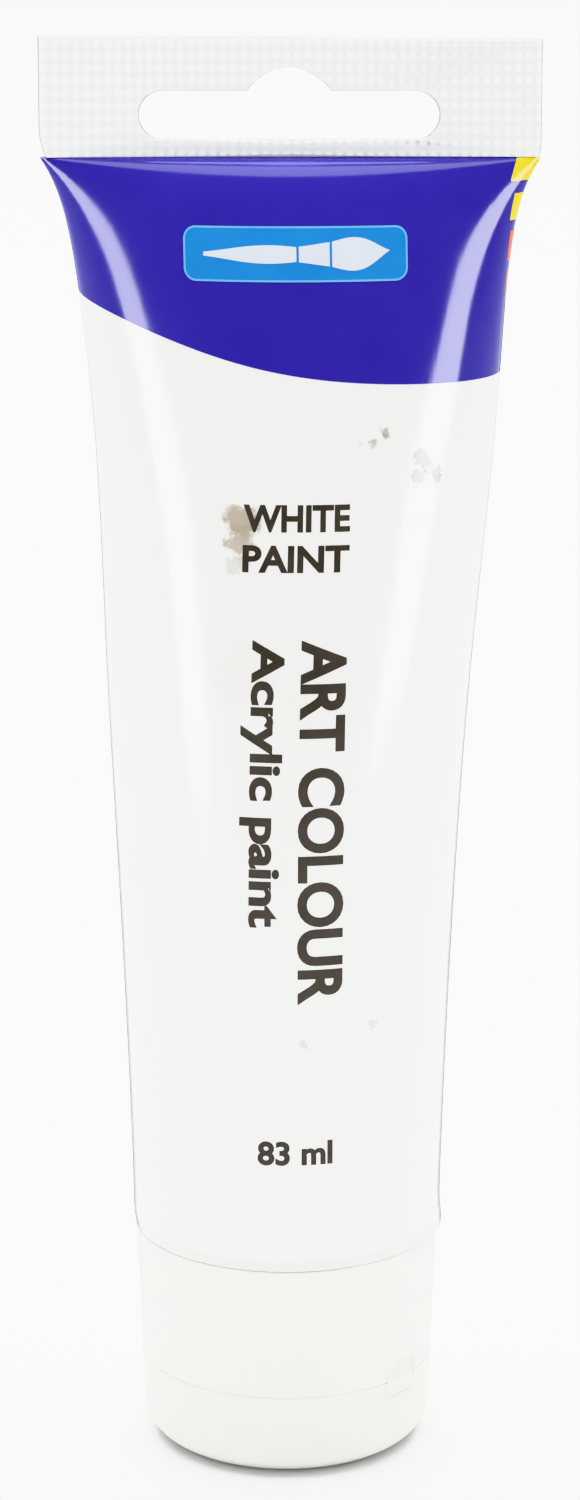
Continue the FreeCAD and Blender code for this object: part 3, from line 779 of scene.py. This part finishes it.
print("making finishes")
whiteFilm = stainedAndShadedSleeve()
sealFilm = pressedWeld()
blueInk = ink("blueInk", (0.041, 0.030, 0.345), (0.047, 0.035, 0.37), clouds=60.0)
skyInk = ink("skyInk", (0.024, 0.225, 0.60), (0.03, 0.25, 0.63))
paleInk = ink("paleInk", (0.16, 0.50, 0.86), (0.2, 0.54, 0.88))
markInk = ink("markInk", (0.68, 0.73, 0.80), (0.72, 0.77, 0.83))
greyInk = ink("greyInk", (0.050, 0.042, 0.032), (0.068, 0.058, 0.045), clouds=220.0)
yellowInk = ink("yellowInk", (0.94, 0.78, 0.002), (0.91, 0.74, 0.004))
orangeInk = ink("orangeInk", (0.84, 0.12, 0.03), (0.8, 0.14, 0.04))
apricotInk = ink("apricotInk", (0.86, 0.42, 0.22), (0.84, 0.48, 0.28))
capWhite = finish("capPlastic", (0.895, 0.897, 0.868), (0.88, 0.882, 0.85), 0.34, grain=1600.0, clouds=55.0,
                  bump=0.03, subsurface=0.1)
# Painted shade: the lid is the cap's own plastic made a little darker, standing in for shade on the lower
# band.
lidWhiteShaded = finish("lidPlasticShaded", (0.872, 0.874, 0.842), (0.855, 0.857, 0.822), 0.36, grain=1600.0, clouds=55.0,
                  bump=0.03, subsurface=0.1)
headWhite = finish("headPlastic", (0.82, 0.82, 0.79), (0.79, 0.79, 0.76), 0.45, grain=1300.0, bump=0.04,
                   subsurface=0.1)
foilSkin = finish("foilSkin", (0.72, 0.72, 0.73), (0.62, 0.62, 0.64), 0.28, grain=700.0, bump=0.08)
foilSkin.node_tree.nodes["Principled BSDF"].inputs["Metallic"].default_value = 1.0
wetPaint = finish("wetPaint", (0.9, 0.9, 0.88), (0.88, 0.88, 0.86), 0.12, grain=120.0, clouds=30.0,
                  bump=0.1, coat=0.6, subsurface=0.2)
foam = finish("washerFoam", (0.8, 0.8, 0.77), (0.74, 0.74, 0.71), 0.7, grain=2600.0, clouds=300.0,
              bump=0.2)


parting = {
    "height": 11.0 * mm,
    "outerSkin": 15.5 * mm,        # only the shells' outer skins are touched
    "lidOut": 0.11 * mm,           # the lid's upper edge stands out and catches the light
    "lidUp": 0.09 * mm,
    "lidReach": 0.55 * mm,
    "baseOut": 0.1 * mm,           # the base's lower edge is nearly sharp
    "baseReach": 0.1 * mm,
    "rimOut": 0.22 * mm,           # the base's upper edge stands out below the sleeve
    "rimUp": 0.1 * mm,
    "rimReach": 0.6 * mm,
    "bearing": 52.0,               # degrees from the front round to the thumb notch
    "notchFloor": 17.2 * mm,
    "notchHalf": 3.0 * mm,
    "notchFill": 0.64 * mm,
}


def moulded(node, x, y, z):
    # Along the parting line the two edges move by how near they are to it, and the notch's
    # floor comes forward, away from the cap's axis.
    radius = np.hypot(x, y)
    outer = radius > parting["outerSkin"]
    crown = z[outer].max()
    if node == "flip_lid":
        upper = np.clip(1 - (crown - z) / parting["lidReach"], 0, 1) * outer
        out, up = parting["lidOut"] * upper, parting["lidUp"] * upper
    else:
        lower = np.clip(1 - np.abs(z - parting["height"]) / parting["baseReach"], 0, 1) * outer
        upper = np.clip(1 - (crown - z) / parting["rimReach"], 0, 1) * outer
        out, up = parting["baseOut"] * lower + parting["rimOut"] * upper, parting["rimUp"] * upper
    bearing = math.radians(parting["bearing"])
    frontX, frontY = math.sin(bearing), -math.cos(bearing)
    forward = x * frontX + y * frontY
    aside = np.abs(x * frontY - y * frontX)
    recess = (np.abs(forward - parting["notchFloor"]) < 0.03 * mm) & (aside < parting["notchHalf"])
    recess = recess * (np.abs(z - parting["height"]) < parting["notchHalf"]) * parting["notchFill"]
    grow = 1 + out / radius.clip(1 * mm) * (1 - (recess > 0))
    return x * grow + recess * frontX, y * grow + recess * frontY, z + up


def smoothedCopy(name, node, material, body, angle=32.0):
    # The node's own shape with its loose triangles joined, shaded smooth except at real corners.
    work = bmesh.new()
    work.from_mesh(nodes[node].data)
    bmesh.ops.remove_doubles(work, verts=work.verts, dist=1e-6)
    mesh = bpy.data.meshes.new(name)
    work.to_mesh(mesh)
    work.free()
    if node in ("cap_base", "flip_lid"):
        places = np.stack(moulded(node, *readPoints(mesh).T), axis=-1)
        mesh.vertices.foreach_set("co", places.ravel())
    piece = finishMesh(name, mesh, material, body, (node,))
    mesh.set_sharp_from_angle(angle=math.radians(angle))
    return piece


print("making pieces")
makeSleeve(whiteFilm)
makeWeldedEnd(sealFilm)
makePanel(blueInk)
makeBadgePlate(skyInk)
makeBadgeOutline(paleInk)
makeBrush(markInk)
makeSwatches({"yellow": yellowInk, "orange": orangeInk, "apricot": apricotInk})
for line in wording:
    makeWords(*line, greyInk)
mouldings = [
    ("capBase", "cap_base", capWhite, "cap", "cap_plastic"),
    ("flipLid", "flip_lid", lidWhiteShaded, "lid", "cap_plastic"),
    ("tubeHead", "tube_head", headWhite, "tube", "head_plastic"),
    ("foilSeal", "foil_seal", foilSkin, "tube", "foil"),
    ("paintFill", "paint_fill", wetPaint, "tube", "paint"),
    ("sealWasher", "seal_washer", foam, "washer", "washer_foam"),
]
for name, node, material, body, slotName in mouldings:
    smoothedCopy(name, node, material, body)


film = {
    "thickness": 0.42 * mm,
    "thin": 0.2 * mm,
    "innerRadius": 18.1 * mm,
    "bearing": 142.0,              # degrees from +X round to the hinge's middle
    "foldFrom": (0, 0, 11.3 * mm),
    "foldTo": (0, 0, 10.5 * mm),
}

# name, node, and offset and spread in degrees round the cap
filmPieces = [
    ("hingeWeb", "hinge_web", 0.0, 20.0),
    ("hingeStrapLeft", "hinge_strap_left", 21.0, 7.0),
    ("hingeStrapRight", "hinge_strap_right", -21.0, 7.0),
]


def makeHinge(name, node, offset, spread, material):
    # A strip round the wall that thins to a line at the fold: radius against height, carried round.
    low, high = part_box(node)
    turn = np.linspace(-spread / 2, spread / 2, 24)[None, :] + film["bearing"] + offset
    turn = np.radians(turn)
    rise = np.linspace(low[2], high[2], 25)
    fold = np.abs(rise - (low[2] + high[2]) / 2) / ((high[2] - low[2]) / 2)
    thick = film["thin"] + (film["thickness"] - film["thin"]) * np.clip(fold * 2.2, 0, 1) ** 2
    thick = thick * np.clip((1 - fold) * 9, 0.25, 1) ** 0.5
    inner = np.full_like(rise, film["innerRadius"])
    radius = np.concatenate([inner + thick, inner[::-1]])[:, None]
    heights = np.concatenate([rise, rise[::-1]])[:, None] + 0 * turn
    grid = np.stack([radius * np.cos(turn), radius * np.sin(turn), heights], axis=-1)
    mesh = meshFromGrid(name, grid, closeRows=True)
    work = bmesh.new()
    work.from_mesh(mesh)
    bmesh.ops.holes_fill(work, edges=[edge for edge in work.edges if edge.is_boundary])
    bmesh.ops.recalc_face_normals(work, faces=work.faces[:])
    work.to_mesh(mesh)
    work.free()
    piece = placeMesh(name, mesh, material)
    mesh.set_sharp_from_angle(angle=math.radians(50))
    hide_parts(node)
    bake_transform(piece)


for name, node, offset, spread in filmPieces:
    makeHinge(name, node, offset, spread, capWhite)


studio = {
    "camera": (0.0, -650.0 * mm, 283.4 * mm),
    "pitchDown": 0.2853,
    "lens": 133.66,
    "shift": (0.0023, -0.0216),
    "room": 0.62,                  # even light from all round
    "floor": 0.93,
    "floorHalf": 6.0,
}

# name, degrees round from the camera, distance, lowest and highest point, width, brightness
softboxes = [
    ("leftStrip", -46.0, 0.46, -0.02, 0.52, 0.105, 19.0),
    ("rightStrip", 51.0, 0.46, -0.02, 0.62, 0.13, 21.0),
]


overhead = {"place": (0.0, 0.35, 1.3), "aim": (0.0, 0.25, 0.0), "size": (1.6, 1.6), "brightness": 5.0}

# the right-hand dark card, seen from the front, and how far behind the middle it stands
flag = {
    "outline": ((0.0172, -0.004), (0.034, -0.004), (0.044, 0.168), (0.0262, 0.168)),
    "behind": 0.032,
}


def makeFloor():
    mesh = bpy.data.meshes.new("studioFloor")
    half = studio["floorHalf"]
    corners = [(-half, -half, 0.0), (half, -half, 0.0), (half, half, 0.0), (-half, half, 0.0)]
    mesh.from_pydata(corners, [], [(0, 1, 2, 3)])
    floor = bpy.data.objects.new("studioFloor", mesh)
    bpy.context.scene.collection.objects.link(floor)
    material = bpy.data.materials.new("floorPaper")
    material.use_nodes = True
    shader = material.node_tree.nodes["Principled BSDF"]
    shader.inputs["Base Color"].default_value = (*[studio["floor"]] * 3, 1)
    shader.inputs["Roughness"].default_value = 0.9
    shader.inputs["Specular IOR Level"].default_value = 0.0
    mesh.materials.append(material)


def areaLight(name, place, aim, size, brightness, lightsSurfaces, showsInGloss):
    # A flat lamp of even brightness, never seen straight on.
    light = bpy.data.lights.new(name, "AREA")
    light.shape = "RECTANGLE"
    light.size, light.size_y = size
    light.energy = brightness * math.pi * size[0] * size[1]
    lamp = bpy.data.objects.new(name, light)
    bpy.context.scene.collection.objects.link(lamp)
    lamp.location = place
    lamp.rotation_euler = (Vector(aim) - Vector(place)).to_track_quat("-Z", "Y").to_euler()
    lamp.visible_camera = False
    lamp.visible_diffuse = lightsSurfaces
    lamp.visible_glossy = showsInGloss


def makeLights():
    for name, bearing, distance, foot, top, width, brightness in softboxes:
        turn = math.radians(bearing)
        middle = (foot + top) / 2
        place = (distance * math.sin(turn), -distance * math.cos(turn), middle)
        areaLight(name, place, (0, 0, middle), (width, top - foot), brightness, False, True)
    areaLight("overhead", overhead["place"], overhead["aim"], overhead["size"],
              overhead["brightness"], True, True)


def makeFlags():
    # Two dark cards just behind the tube, seen only in its gloss, draw a fine line down each side.
    material = bpy.data.materials.new("flagCloth")
    material.use_nodes = True
    shader = material.node_tree.nodes["Principled BSDF"]
    shader.inputs["Base Color"].default_value = (0.02, 0.02, 0.02, 1)
    shader.inputs["Roughness"].default_value = 0.95
    for name, side in (("leftFlag", -1), ("rightFlag", 1)):
        corners = [(side * x, flag["behind"], z) for x, z in flag["outline"]]
        mesh = bpy.data.meshes.new(name)
        mesh.from_pydata(corners, [], [(0, 1, 2, 3)])
        mesh.materials.append(material)
        card = bpy.data.objects.new(name, mesh)
        bpy.context.scene.collection.objects.link(card)
        card.visible_camera = card.visible_diffuse = card.visible_shadow = False


def makeWorld():
    world = bpy.data.worlds.new("studioWorld")
    bpy.context.scene.world = world
    world.use_nodes = True
    ground = world.node_tree.nodes["Background"]
    ground.inputs["Color"].default_value = (1, 1, 1, 1)
    ground.inputs["Strength"].default_value = studio["room"]


def makeCamera():
    view = bpy.data.cameras.new("studioCamera")
    view.lens = studio["lens"]
    view.sensor_width = 36.0
    view.shift_x, view.shift_y = studio["shift"]
    view.clip_start, view.clip_end = 0.02, 30.0
    camera = bpy.data.objects.new("studioCamera", view)
    bpy.context.scene.collection.objects.link(camera)
    camera.location = studio["camera"]
    camera.rotation_euler = (math.pi / 2 - studio["pitchDown"], 0, 0)
    bpy.context.scene.camera = camera


makeFloor()
makeWorld()
makeCamera()
makeLights()
makeFlags()
bpy.context.scene.view_settings.view_transform = "Khronos PBR Neutral"
print("studio ready")
